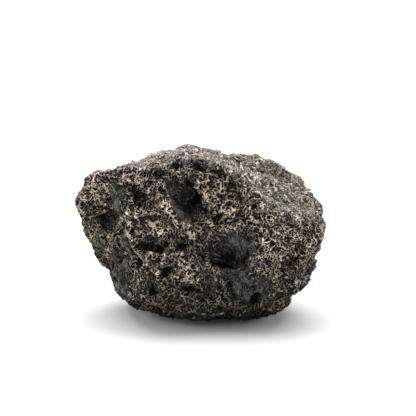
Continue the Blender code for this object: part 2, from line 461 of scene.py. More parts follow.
@dataclass(frozen=True)
class PoreLayer:
    """Pores of one size with rims between them. Lengths are in millimetres.

    A rim runs where a soft random pattern crosses its middle value, as a contour line does, so the
    rims close into uneven loops and the pores lie within and between them.

    Attributes:
        spacing: The distance between neighbouring pores.
        depth: How deep the deepest are.
        rim: How far a rim reaches from its middle.
        wall: How far from the rim's middle the floor of a pore starts.
        warp: How far the loops are pushed about.
        shift: What keeps this layer's loops apart from another's.
        warp_size: The size of the swirls that push them, in spacings.
        warp_detail: How many finer octaves those have.
        loop_size: The size of the pattern whose contour lines the rims are, in spacings.
        loop_detail: How many finer octaves it has.
        loop_slope: What turns its value into a distance, in sizes.
        chance_size: The size of the places where pores are more or less likely, in spacings.
        chance_shift: What keeps those places apart from the loops.
        chance_span: The values of the random pattern that give the least chance and the most.
    """

    spacing: float
    depth: float
    rim: float
    wall: float
    warp: float
    shift: float
    warp_size: float = 1.3
    warp_detail: float = 3.0
    loop_size: float = 1.35
    loop_detail: float = 0.6
    loop_slope: float = 3.0
    chance_size: float = 2.0
    chance_shift: tuple = (11.0, 17.0)
    chance_span: Span = (0.3, 0.7)

    def loops(self, place: Signal) -> tuple[Signal, Signal]:
        """Reads the loops that the rims run along.

        Args:
            place: Where they are read, in millimetres.

        Returns:
            The distance to the nearest rim's middle, in millimetres, and the chance of a pore.
        """
        wander = place.noise(self.spacing * self.warp_size, self.warp_detail, "Color")
        moved = place.plus(wander.minus((0.5, 0.5, 0.5)).scaled(self.warp))
        moved = moved.plus((self.shift, self.shift, self.shift))
        size = self.spacing * self.loop_size
        edge = abs(moved.noise(size, self.loop_detail) - 0.5) * (size * self.loop_slope)
        other = moved.plus((self.shift, *self.chance_shift))
        return edge, other.noise(self.spacing * self.chance_size, 1.0).step(*self.chance_span)


@dataclass(frozen=True)
class Furrows:
    """Fine furrows that all run one way.

    Attributes:
        way: Which way they run.
        longer: How much longer than wide they are.
        across: How wide they are, in millimetres.
        depth: How deep they are, in millimetres.
        span: How far the pattern is from its middle value on the threads between them, and in them.
    """

    way: tuple
    longer: float
    across: float = 0.7
    depth: float = 0.12
    span: Span = (0.02, 0.12)

    def read(self, place: Signal) -> Signal:
        """Reads the furrows at a place.

        Args:
            place: Where they are read, in millimetres.

        Returns:
            The share of a furrow, from 0 on the threads between them to 1 in its middle.
        """
        way = tuple(Vector(self.way).normalized())
        along = place.dot(way).towards(way)
        squeezed = place.plus(along.scaled(1.0 / self.longer - 1.0))
        return abs(squeezed.noise(self.across) - 0.5).step(*self.span)


@dataclass(frozen=True)
class Ledges:
    """Steps that run round the stone's low hills, as terraces do. Lengths are in millimetres.

    Attributes:
        size: The size of the hills.
        count: How many ledges there are from the lowest place to the highest.
        rise: How high one ledge stands.
        riser: The share of a ledge that its slope takes; the spans below are shares of it too.
        lip_start: Where its edge starts.
        lip_end: Where its edge ends.
        foot_end: Where the crease at the foot of its slope ends.
        foot_start: Where the crease at the foot of the next slope starts.
    """

    size: float = 10.0
    count: float = 8.0
    rise: float = 0.27
    riser: float = 0.35
    lip_start: Span = (0.2, 0.35)
    lip_end: Span = (0.62, 0.42)
    foot_end: Span = (0.14, 0.04)
    foot_start: Span = (0.9, 1.0)

    def read(self, place: Signal) -> tuple[Signal, Signal, Signal]:
        """Reads the ledges at a place.

        Args:
            place: Where they are read, in millimetres.

        Returns:
            The ground's height in millimetres, and the shares of an edge and of a crease.
        """
        level = place.noise(self.size, 3.0) * self.count
        along = level.fraction()
        height = (level - along + along.step(0.0, self.riser) - self.count * 0.5) * self.rise
        lip = along.step(*self.lip_start) * along.step(*self.lip_end)
        crease = along.step(*self.foot_end).larger(along.step(*self.foot_start))
        return height, lip, crease


@dataclass(frozen=True)
class CrustPattern:
    """The pattern of the crust, read alike by the mesh and by the finish. Lengths are in millimetres.

    Attributes:
        fine: The small pores that cover the crests.
        wide: The larger and rarer ones among them.
        bowl: The shallow bowls that hold both.
        ledges: The ledges of the ground that they are cut into.
        streaks: The furrows of the lee side.
        grain: The furrows of a smooth hollow.
        shallow: How deep the shallowest fine pores are, as a share of the deepest.
        wide_chance: The chances that give no wide pore, and a whole one.
        bowl_chance: The chances that give no bowl, and a whole one.
        line: Where a fine rim is highest and how far it reaches, from its loop.
        ring: The same for a wide rim.
        ring_chance: The chances that give a wide pore no rim, and a whole one.
        thread_size: The size of the loops that thin threads follow between the rims.
        thread: Half a thread's width, as a change of its pattern's value.
        thread_share: How high a thread stands, as a share of a rim.
        floor_filled: How much the pores are filled on a smooth floor.
        lee_filled: How much they are filled on the lee side.
        floor_flat: How much the ledges are flattened on a smooth floor.
        bowl_sunk: How far the inside of a bowl is sunk.
        hole_sunk: How far the inside of a wide pore is.
        swell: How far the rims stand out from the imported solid.
        swirl_size: The size of the swirls that the folds of a smooth hollow follow.
        swirl_count: How many of those folds there are from one side of a swirl to the other.
        swirl_depth: How deep a fold is.
    """

    fine: PoreLayer = PoreLayer(spacing=0.6, depth=0.28, rim=0.05, wall=0.2, warp=0.63, shift=0.0)
    wide: PoreLayer = PoreLayer(spacing=1.6, depth=0.45, rim=0.1, wall=0.5, warp=1.54, shift=31.0)
    bowl: PoreLayer = PoreLayer(spacing=4.6, depth=0.6, rim=0.2, wall=1.7, warp=3.64, shift=57.0)
    ledges: Ledges = Ledges()
    streaks: Furrows = Furrows(way=(0.85, 0.1, -0.51), longer=3.0)
    grain: Furrows = Furrows(way=(0.18, -0.1, -1.0), longer=4.0)
    shallow: float = 0.5
    wide_chance: Span = (0.4, 0.75)
    bowl_chance: Span = (0.3, 0.75)
    line: tuple = (0.03, 0.13)
    ring: tuple = (0.06, 0.18)
    ring_chance: Span = (0.35, 0.6)
    thread_size: float = 1.6
    thread: float = 0.04
    thread_share: float = 0.8
    floor_filled: float = 0.8
    lee_filled: float = 0.25
    floor_flat: float = 0.5
    bowl_sunk: float = 0.4
    hole_sunk: float = 0.5
    swell: float = 0.3
    swirl_size: float = 5.0
    swirl_count: float = 11.0
    swirl_depth: float = 0.35

    def read(self, lie: Lie) -> Relief:
        """Reads the pattern at a place.

        Args:
            lie: How the place lies.

        Returns:
            The pattern there.
        """
        place, floor = lie.rest, lie.floor
        edge, chance = self.fine.loops(place)
        pore = edge.step(self.fine.rim, self.fine.wall) * (chance * (1.0 - self.shallow) + self.shallow)
        wide_edge, wide_chance = self.wide.loops(place)
        hole = wide_edge.step(self.wide.rim, self.wide.wall) * wide_chance.step(*self.wide_chance)
        bowl_edge, bowl_chance = self.bowl.loops(place)
        bowl = bowl_edge.step(self.bowl.rim, self.bowl.wall) * bowl_chance.step(*self.bowl_chance)
        open_share = (1.0 - floor * self.floor_filled) * (1.0 - lie.lee * self.lee_filled)
        ring = wide_edge.ridge(*self.ring) * wide_chance.step(*self.ring_chance)
        streak = self.streaks.read(place)
        grain = self.grain.read(place)
        swirl = self.swirls(place)
        height, lip, crease = self.ledges.read(place)
        depth = pore * self.fine.depth + hole * self.wide.depth + bowl * self.bowl.depth
        depth = depth * open_share + streak * lie.lee * self.streaks.depth
        depth = depth - height * (1.0 - floor * self.floor_flat) - self.swell
        depth = depth + ((1.0 - swirl) * self.swirl_depth + grain * self.grain.depth) * floor
        return Relief(
            depth=depth,
            rim=self.rims(place, edge, ring),
            pit=pore.larger(hole) * open_share,
            sunk=1.0 - (1.0 - bowl * self.bowl_sunk) * (1.0 - hole * self.hole_sunk),
            lip=lip,
            crease=crease,
            swirl=swirl,
            grain=grain,
            streak=streak,
        )

    def rims(self, place: Signal, edge: Signal, ring: Signal) -> Signal:
        """The rims of the pores, with thin threads between them.

        Args:
            place: Where they are read, in millimetres.
            edge: The distance to the nearest fine rim's middle.
            ring: The height of the wide rims.

        Returns:
            Their height, from 0 to 1.
        """
        thread = place.noise(self.thread_size, 1.0).ridge(0.5, self.thread)
        line = edge.ridge(*self.line).larger(thread * self.thread_share)
        return line.larger(ring).larger(0.0)

    def swirls(self, place: Signal) -> Signal:
        """The folds of a smooth hollow.

        Args:
            place: Where they are read, in millimetres.

        Returns:
            0 at the bottom between two folds and 1 on the crest of one.
        """
        turn = place.noise(self.swirl_size) * self.swirl_count
        return abs(turn.fraction() - 0.5) * 2.0


@dataclass(frozen=True)
class Mark:
    """An oval place on the stone, found by looking at the best face. Lengths are in millimetres.

    Attributes:
        across: How far right of the heart its middle is seen.
        up: How far above the heart it is seen.
        half_width: Half its width.
        half_height: Half its height.
        turn: How far it is turned, in degrees, anticlockwise.
    """

    across: float
    up: float
    half_width: float
    half_height: float
    turn: float = 0.0

    THICKNESS = 1.5  # how far in front of or behind its middle a mark reaches, in radii
    FAR = 9.0  # what stands for a place that is out of its reach

    @property
    def radius(self) -> float:
        """Half the mark's longer side, in metres."""
        return max(self.half_width, self.half_height) * MM

    def spread(self, points: np.ndarray, hit: np.ndarray, normal: np.ndarray) -> np.ndarray:
        """Measures how far out points lie on the mark.

        Args:
            points: The points, in metres.
            hit: Where the mark's middle lies on the stone.
            normal: The way that the stone faces there.

        Returns:
            For each point 0 in the middle, 1 on the outline and large on what lies behind.
        """
        right = np.array([1.0, 0.0, 0.0])
        right -= (right @ normal) * normal
        right /= np.linalg.norm(right)
        up = np.cross(normal, right)
        turn = math.radians(self.turn)
        away = points - hit
        x, y = away @ right, away @ up
        along = (x * math.cos(turn) + y * math.sin(turn)) / (self.half_width * MM)
        aside = (y * math.cos(turn) - x * math.sin(turn)) / (self.half_height * MM)
        behind = np.abs(away @ normal) > self.THICKNESS * self.radius
        return np.where(behind, self.FAR, np.hypot(along, aside))


@dataclass(frozen=True)
class Patch(Mark):
    """A place where the crust is smoother.

    Attributes:
        share: How smooth its middle is, from 0 to 1.
    """

    share: float = 1.0


@dataclass(frozen=True)
class Dent(Mark):
    """A recess cut into the stone, or a lump raised on it.

    Attributes:
        depth: How deep it is; a lump's is negative.
        crisp: How sharp its rim is: 1 for a bowl, more for a hole with steep sides.
    """

    depth: float = 1.0
    crisp: float = 1.0


# Each mark gives how far across and up it lies, half its width and height, and its turn. A patch that
# isn't wholly smooth then gives its share. A dent gives its depth and, where its rim is sharp, how sharp.
SMOOTH = [
    Patch(-5.5, 8.4, 3.1, 7.6, 28),  # the floor of the long thumbprint
    Patch(10.0, -3.6, 6.4, 5.8),  # the great thumbprint
    Patch(13.1, -14.6, 5.0, 5.4, 10),  # its tongue
    Patch(3.4, -12.6, 2.2, 4.4, 4, 0.7),  # the slope beside it
    Patch(-23.2, 9.2, 2.8, 5.2, 10),  # the hollow of the left face
    Patch(-21.4, -0.6, 1.9, 5.5, 4),  # the band below it
    Patch(-28.2, -1.6, 2.2, 5.0, 18, 0.8),  # the slope below it
    Patch(-21.2, -10.4, 2.8, 7.0, 12),  # the valley at the left edge
    Patch(-13.2, -13.6, 2.4, 2.8, 20, 0.7),  # low on the left
    Patch(-5.8, 21.7, 1.9, 1.3),  # the hollow behind the crest
    Patch(-14.4, -4.0, 3.2, 1.8, -12, 0.7),  # the ledge hollow
]


# the worn ridges: beside the long thumbprint, down the left, along the right shoulder
RIDGES = [
    Dent(-9.0, 7.4, 6.4, 1.0, -56, -0.8),
    Dent(-19.2, 4.2, 8.4, 0.8, -81, -0.6),
    Dent(-18.3, -9.8, 6.0, 0.8, -74, -0.6),
    Dent(2.6, 9.4, 5.0, 1.1, -62, -0.5),
    Dent(12.6, 16.6, 4.6, 0.9, -40, -0.25),
    Dent(19.4, 10.6, 7.0, 0.9, -46, -0.6),
    Dent(28.3, 0.6, 7.0, 0.9, -75, -0.6),
    Dent(-15.0, 15.6, 6.0, 0.8, -12, -0.4),
    Dent(7.6, 6.0, 4.2, 0.8, -18, -0.6),
    Dent(17.6, -1.0, 4.6, 1.2, -80, -0.5),
    Dent(-6.2, -5.0, 5.0, 0.7, 4, -0.7),
    Dent(-3.6, -8.4, 2.6, 2.0, 0, -0.2),
    Dent(-1.9, -12.2, 2.6, 0.8, -20, -0.7),
    Dent(21.0, -14.2, 2.2, 0.9, 20, -0.7),
    Dent(-16.0, 16.0, 8.0, 2.6, -10, -0.3),
    Dent(-5.0, 20.4, 5.4, 0.7, 8, -0.5),
    Dent(-30.4, -1.0, 4.0, 6.0, 10, -0.2),
    Dent(28.4, -13.4, 4.2, 7.0, -35, -1.5),
]

# the broad dark places between the ridges, cut deep enough to be darkened as painted shade
DARK_PLACES = [
    Dent(8.9, 13.0, 4.2, 3.2, -40, 0.7),
    Dent(11.0, 9.8, 3.2, 2.2, -30, 0.9),
    Dent(-13.9, 2.2, 3.8, 1.8, 0, 0.8),
    Dent(14.8, 17.0, 3.0, 1.6, -30, 0.4),
    Dent(-17.4, 11.0, 2.0, 3.2, 0, 0.7),
    Dent(-12.8, -11.4, 1.6, 3.4, 20, 0.8),
    Dent(16.0, -16.6, 1.9, 3.6, -8, 1.4, 1.3),
    Dent(24.6, -7.2, 3.0, 1.5, -14, 0.9, 1.2),
    Dent(-12.2, 9.2, 2.2, 3.4, -40, 0.5),
]

# the dark side of the long thumbprint, cut deep and so darkened as painted shade, the crack along its
# floor, and its lumps
LONG_PRINT = [
    Dent(-1.7, 12.4, 2.7, 5.2, 27, 2.6, 1.6),
    Dent(0.6, 7.4, 1.1, 2.8, 30, 1.6, 1.6),
    Dent(-6.6, 10.4, 0.6, 3.4, 38, 0.9, 1.5),
    Dent(-7.6, 12.4, 1.3, 2.6, 34, -0.5),
    Dent(-4.9, 7.6, 1.8, 1.5, 30, -0.4),
]

# the deep end of the great thumbprint, and the folds of its tongue
GREAT_PRINT = [
    Dent(8.0, -5.6, 4.8, 3.2, 0, 1.2, 1.2),
    Dent(6.8, -8.0, 4.4, 1.1, -8, 2.0, 1.5),
    Dent(11.9, -9.2, 2.2, 1.0, 14, 1.8, 1.5),
    Dent(12.4, -5.6, 1.4, 2.6, -30, 1.0, 1.3),
    Dent(3.2, -7.4, 1.3, 1.8, 10, 1.3, 1.4),
    Dent(12.4, -13.9, 2.6, 1.4, 20, 0.8, 1.2),
    Dent(9.2, -17.6, 1.5, 2.4, -12, 1.2, 1.4),
    Dent(14.8, -18.2, 1.6, 2.4, -14, 1.2, 1.4),
    Dent(6.2, -12.6, 1.1, 3.4, 12, -0.5),
]

# holes under the crest
CREST_HOLES = [
    Dent(-0.4, 18.0, 2.6, 1.3, -14, 1.5, 1.5),
    Dent(3.0, 16.2, 1.2, 1.6, 10, 1.0, 1.4),
    Dent(8.6, 14.0, 1.8, 1.1, -24, 1.0, 1.4),
    Dent(-11.8, 17.2, 2.8, 0.7, 10, 0.7, 1.3),
]

# holes on the left of the best face
LEFT_HOLES = [
    Dent(-17.5, 10.7, 1.5, 1.1, 0, 1.3, 1.7),
    Dent(-16.8, 8.8, 1.4, 0.9, -8, 1.2, 1.7),
    Dent(-18.0, 13.2, 0.9, 1.2, 0, 0.8, 1.5),
    Dent(-13.4, 14.4, 1.4, 0.9, 20, 0.7, 1.3),
    Dent(-12.6, 5.0, 1.5, 1.2, 10, 0.9, 1.3),
    Dent(-7.8, 2.6, 1.2, 1.4, 20, 0.8, 1.3),
]

# the ledge hollow, its roof and its bright lip
LEDGE_HOLLOW = [
    Dent(-14.4, -2.6, 4.0, 1.8, -12, 0.8, 1.3),
    Dent(-15.6, -1.4, 1.6, 0.8, -10, 0.6, 1.4),
    Dent(-12.0, -5.3, 4.2, 0.6, -5, -0.6),
    Dent(-4.6, -2.8, 1.8, 0.8, 8, 0.6, 1.3),
]

# the left face: its pit and the steps around it
LEFT_FACE = [
    Dent(-27.5, 4.4, 1.8, 2.4, 10, 1.2, 1.6),
    Dent(-26.4, 4.0, 3.2, 3.8, 10, 0.7, 1.2),
    Dent(-25.2, 9.8, 2.2, 0.9, 14, 0.9, 1.4),
    Dent(-24.2, 1.2, 1.4, 2.2, 24, 0.7, 1.3),
    Dent(-30.0, 9.4, 1.2, 1.8, 0, 0.8, 1.4),
    Dent(-22.6, -5.6, 1.4, 2.6, 20, 0.8, 1.3),
    Dent(-21.4, -12.6, 1.0, 3.0, 4, 0.9, 1.4),
    Dent(-19.5, 2.8, 0.8, 6.5, 6, -0.7),
    Dent(-18.6, -8.6, 0.8, 4.2, 12, -0.6),
]

# holes and thin ledges low on the face
LOW_HOLES = [
    Dent(-14.2, -8.8, 1.6, 1.0, 20, 1.2, 1.6),
    Dent(-9.8, -10.6, 1.8, 1.2, -10, 1.3, 1.6),
    Dent(-13.2, -15.2, 1.7, 2.6, 20, 1.4, 1.5),
    Dent(-7.6, -14.2, 1.3, 1.1, 0, 1.0, 1.5),
    Dent(-2.4, -14.6, 3.4, 1.5, 6, 1.1, 1.5),
    Dent(-18.4, -15.0, 1.2, 1.6, 10, 0.8, 1.4),
    Dent(-3.4, -19.6, 2.6, 1.0, 0, 1.0, 1.4),
    Dent(4.6, -19.4, 4.6, 0.5, -4, -0.5),
    Dent(4.2, -21.2, 5.2, 0.5, -6, -0.5),
    Dent(14.5, -14.3, 0.7, 0.8, 0, 1.4, 1.6),
]

# holes right of the thumbprints
RIGHT_HOLES = [
    Dent(5.2, 5.4, 1.8, 1.1, 20, 1.2, 1.5),
    Dent(9.4, 4.2, 1.1, 1.3, 0, 0.9, 1.5),
    Dent(15.6, 5.2, 1.6, 1.0, -20, 1.0, 1.5),
    Dent(16.8, 0.4, 1.2, 1.3, 10, 0.9, 1.5),
    Dent(20.4, -3.6, 1.3, 1.1, 0, 0.9, 1.5),
    Dent(18.4, -7.6, 1.3, 1.6, 16, 1.1, 1.5),
    Dent(22.6, -9.4, 1.7, 1.0, -24, 1.2, 1.6),
    Dent(19.6, -14.4, 1.4, 1.2, 10, 1.1, 1.5),
    Dent(25.0, -13.0, 1.1, 1.7, 24, 0.9, 1.4),
    Dent(26.8, -2.2, 1.0, 1.5, 0, 0.8, 1.4),
    Dent(28.6, 2.8, 0.9, 1.3, 0, 0.7, 1.4),
    Dent(20.2, 8.4, 1.3, 0.9, -40, 0.8, 1.4),
]

DENTS = [
    *RIDGES,
    *DARK_PLACES,
    *LONG_PRINT,
    *GREAT_PRINT,
    *CREST_HOLES,
    *LEFT_HOLES,
    *LEDGE_HOLLOW,
    *LEFT_FACE,
    *LOW_HOLES,
    *RIGHT_HOLES,
]


@dataclass(frozen=True)
class BestFace:
    """The stone's best face, on which its marks are placed as it is seen from in front.

    Attributes:
        heart: The stone's heart.
        tilt: How far the face looks above level, in degrees.
        sample: How much of a mark's radius counts for the way that the stone faces there.
    """

    heart: tuple = HEART
    tilt: float = FACE_TILT
    sample: float = 0.7

    def axes(self) -> tuple[np.ndarray, np.ndarray, np.ndarray]:
        """The right, up and out of the face, the last pointing to whoever looks at it."""
        tilt = math.radians(self.tilt)
        right = np.array([1.0, 0.0, 0.0])
        out = np.array([0.0, -math.cos(tilt), math.sin(tilt)])
        return right, np.cross(out, right), out

    def struck(self, bare: BVHTree, mark: Mark) -> tuple[np.ndarray, np.ndarray]:
        """Finds where a mark lies on the stone.

        Args:
            bare: The stone.
            mark: The mark.

        Returns:
            Where its middle lies, and the way that the stone faces there.
        """
        right, up, out = self.axes()
        start = np.array(self.heart) + (mark.across * right + mark.up * up) * MM + out
        hit = bare.ray_cast(Vector(start), Vector(-out))[0]
        near = bare.find_nearest_range(hit, self.sample * mark.radius)
        return np.array(hit), np.array(sum((found[1] for found in near), Vector()).normalized())


def settle(piece: bpy.types.Object) -> None:
    """Makes what a piece's modifiers do part of its mesh.

    Args:
        piece: The piece.
    """
    seen = piece.evaluated_get(bpy.context.evaluated_depsgraph_get())
    mesh = bpy.data.meshes.new_from_object(seen)
    piece.modifiers.clear()
    piece.data = mesh


def remesh(piece: bpy.types.Object, voxel: float) -> None:
    """Gives a piece an even mesh of small squares.

    Args:
        piece: The piece.
        voxel: The side of a square.
    """
    squares = piece.modifiers.new("squares", "REMESH")
    squares.mode = "VOXEL"
    squares.voxel_size = voxel
    settle(piece)


def read_vectors(vertices: bpy.types.MeshVertices, name: str) -> np.ndarray:
    """Reads a vector of every vertex.

    Args:
        vertices: The vertices.
        name: "co" or "normal".

    Returns:
        One row for each vertex.
    """
    found = np.empty(3 * len(vertices), np.float32)
    vertices.foreach_get(name, found)
    return found.reshape(-1, 3).astype(float)


def move_vertices(mesh: bpy.types.Mesh, points: np.ndarray) -> None:
    """Moves every vertex of a mesh.

    Args:
        mesh: The mesh.
        points: Where they go, one row for each.
    """
    mesh.vertices.foreach_set("co", points.astype(np.float32).ravel())
    mesh.update()


def keep(mesh: bpy.types.Mesh, name: Kept, kind: Kind, values: np.ndarray) -> None:
    """Keeps a value on every point of a mesh.

    Args:
        mesh: The mesh.
        name: The name that the values are kept under.
        kind: What kind of value they are.
        values: One row for each point.
    """
    attribute = mesh.attributes.new(name.value, kind.value, "POINT")
    entry = "value" if kind is Kind.NUMBER else "vector"
    attribute.data.foreach_set(entry, values.astype(np.float32).ravel())


def search_tree(mesh: bpy.types.Mesh, points: np.ndarray) -> BVHTree:
    """Makes a tree that finds places on a mesh.

    Args:
        mesh: The mesh.
        points: Where its vertices are.

    Returns:
        The tree.
    """
    return BVHTree.FromPolygons(points.tolist(), [tuple(face.vertices) for face in mesh.polygons])


@dataclass(frozen=True)
class Survey:
    """The measuring of how every place lies on the stone, on a coarse copy of it.

    Attributes:
        face: The best face, which the smooth places lie on.
        voxel: The size of the squares that the copy is remeshed with.
        rounds: The rounds of smoothing that find the ground around a hollow.
        lee_way: Which way the lee side faces, mostly up; its paler colours are partly painted top light.
        lee_span: How squarely a place has to face that way to lie on it, and lie fully on it.
        under_span: How far a place has to face down to lie underneath, and lie fully there.
        behind_span: How far it has to face backwards to lie on the back, and lie fully there.
        smooth_span: How deep a hollow is, in millimetres, where it starts to be smooth and is so.
        behind_ease: How much shallower a hollow may be on the back, in millimetres.
        patch_span: How far out on a smooth place it is no longer smooth, and is still fully so.
    """

    face: BestFace = BestFace()
    voxel: float = 0.9 * MM
    rounds: int = 60
    lee_way: tuple = (0.34, 0.12, 0.93)
    lee_span: Span = (0.5, 0.8)
    under_span: Span = (0.0, -0.5)
    behind_span: Span = (-0.15, 0.35)
    smooth_span: Span = (1.0, 2.6)
    behind_ease: float = 0.8
    patch_span: Span = (1.4, 0.6)

    def measure(self, stone: bpy.types.Object) -> bpy.types.Object:
        """Measures how every place lies.

        Args:
            stone: The dented stone.

        Returns:
            A coarse copy of it, which keeps under "lie" how deep each place lies below the ground
            around it in millimetres, which side it is on, from 1 on the lee side to -1 underneath,
            and how smooth it is.
        """
        surveyed = bpy.data.objects.new("survey", stone.data)
        bpy.context.scene.collection.objects.link(surveyed)
        remesh(surveyed, self.voxel)
        mesh = surveyed.data
        points = read_vectors(mesh.vertices, "co")
        normals = read_vectors(mesh.vertices, "normal")
        ground, facing = self.evened(mesh, points, normals)
        hollow = ((ground - points) * normals).sum(axis=1) / MM
        facing /= np.linalg.norm(facing, axis=1)[:, None]
        lee = share_of(facing @ np.array(self.lee_way), self.lee_span)
        under = share_of(facing[:, 2], self.under_span)
        behind = share_of(facing[:, 1], self.behind_span)
        smooth = share_of(hollow + self.behind_ease * behind, self.smooth_span)
        bare = search_tree(mesh, points)
        for patch in SMOOTH:
            spread = patch.spread(points, *self.face.struck(bare, patch))
            smooth = np.maximum(smooth, patch.share * share_of(spread, self.patch_span))
        keep(mesh, Kept.LIE, Kind.VECTOR, np.column_stack([hollow, lee - under, smooth]))
        LOG.info("hollows run from %.1f to %.1f mm", hollow.min(), hollow.max())
        return surveyed

    def evened(self, mesh: bpy.types.Mesh, *values: np.ndarray) -> list[np.ndarray]:
        """Evens out what the vertices of a mesh hold, each with its neighbours, round by round.

        Args:
            mesh: The mesh.
            values: What they hold, one row of three for each vertex.

        Returns:
            The evened values, in the same order.
        """
        edges = np.empty(2 * len(mesh.edges), np.int32)
        mesh.edges.foreach_get("vertices", edges)
        one, other = edges.reshape(-1, 2).T
        neighbours = np.bincount(edges, minlength=len(mesh.vertices))[:, None]
        held = np.hstack(values)
        for _ in range(self.rounds):
            total = np.zeros_like(held)
            np.add.at(total, one, held[other])
            np.add.at(total, other, held[one])
            held = total / neighbours
        return np.hsplit(held, len(values))


def share_of(values: np.ndarray, span: Span) -> np.ndarray:
    """How far values have come along a span.

    Args:
        values: The values.
        span: The value that gives 0, and the one that gives 1.

    Returns:
        Their shares, from 0 to 1.
    """
    low, high = span
    return np.clip((values - low) / (high - low), 0, 1)


@dataclass(frozen=True)
class Cutter:
    """The cutting of the crust's pattern into a mesh. Lengths are in millimetres.

    Attributes:
        pattern: The pattern.
        foot_span: The heights over which the cutting starts, so that the foot stays flat.
        hill_size: The size of the small hills that the whole stone has.
        hill_rise: How high they are.
        bump_size: The size of the bumps on them.
        bump_rise: How high those are.
        crown: How high a crest of either stands above the middle height, as a share of its rise.
        slope: How steeply either falls away from its crests.
        floor_flat: How much both are flattened on a smooth floor.
        facing_rounds: The rounds of smoothing that give the way along which the pattern is cut.
        ground_rounds: The rounds that give the ground which a place may lie below.
    """

    pattern: CrustPattern
    foot_span: Span = (0.25, 1.2)
    hill_size: float = 5.0
    hill_rise: float = 0.38
    bump_size: float = 2.0
    bump_rise: float = 0.12
    crown: float = 0.4
    slope: float = 4.0
    floor_flat: float = 0.6
    facing_rounds: int = 12
    ground_rounds: int = 100

    def tree(self, surveyed: bpy.types.Object) -> bpy.types.NodeTree:
        """Writes the node tree that cuts the pattern.

        Args:
            surveyed: The coarse stone that knows how each place lies.

        Returns:
            The node tree, for a Geometry Nodes modifier.
        """
        tree = bpy.data.node_groups.new("crust relief", "GeometryNodeTree")
        tree.interface.new_socket("Stone", in_out="INPUT", socket_type="NodeSocketGeometry")
        tree.interface.new_socket("Stone", in_out="OUTPUT", socket_type="NodeSocketGeometry")
        graph = MeshGraph(tree)
        position = graph.add("GeometryNodeInputPosition")
        stone = self.surveyed_by(graph, graph.add("NodeGroupInput"), surveyed)
        stone = graph.store(stone, Kept.REST, position.scaled(1.0 / MM))
        facing = graph.blurred(graph.add("GeometryNodeInputNormal"), self.facing_rounds)
        stone = graph.store(stone, Kept.OUT, facing.unit())
        out = graph.known(Kept.OUT)
        lie = Lie.read(graph)
        above_foot = lie.rest.part("Z").step(*self.foot_span)
        rise = self.hills(lie.rest) * (1.0 - lie.floor * self.floor_flat) * above_foot
        stone = graph.moved(stone, "Offset", out.scaled(rise * MM))
        drop = -(self.pattern.read(lie).depth * above_foot)
        stone = graph.moved(stone, "Offset", out.scaled(drop * MM))
        stone = graph.moved(stone, "Position", graph.blurred(position, 1))
        dip = graph.blurred(position, self.ground_rounds).minus(position).dot(out) / MM
        stone = graph.store(stone, Kept.DIP, dip, Kind.NUMBER)
        graph.add("NodeGroupOutput", {}, {0: stone})
        return tree

    def surveyed_by(self, graph: MeshGraph, stone: Signal, surveyed: bpy.types.Object) -> Signal:
        """Tells a mesh how each place lies, from the nearest place on the coarse stone.

        Args:
            graph: The tree that is added to.
            stone: The mesh.
            surveyed: The coarse stone.

        Returns:
            The mesh that keeps it.
        """
        coarse = graph.add("GeometryNodeObjectInfo", {}, {"Object": surveyed}, "Geometry")
        settings = {"data_type": Kind.VECTOR.value}
        sockets = {"Mesh": coarse, "Value": graph.known(Kept.LIE)}
        found = graph.add("GeometryNodeSampleNearestSurface", settings, sockets, "Value")
        return graph.store(stone, Kept.LIE, found)

    def hills(self, rest: Signal) -> Signal:
        """The small hills and bumps between the pores and the thumbprints.

        Args:
            rest: The place on the unpitted stone, in millimetres.

        Returns:
            Their height in millimetres.
        """
        hills = self.crown - abs(rest.noise(self.hill_size, 3.0) - 0.5) * self.slope
        bumps = self.crown - abs(rest.noise(self.bump_size) - 0.5) * self.slope
        return hills * self.hill_rise + bumps * self.bump_rise


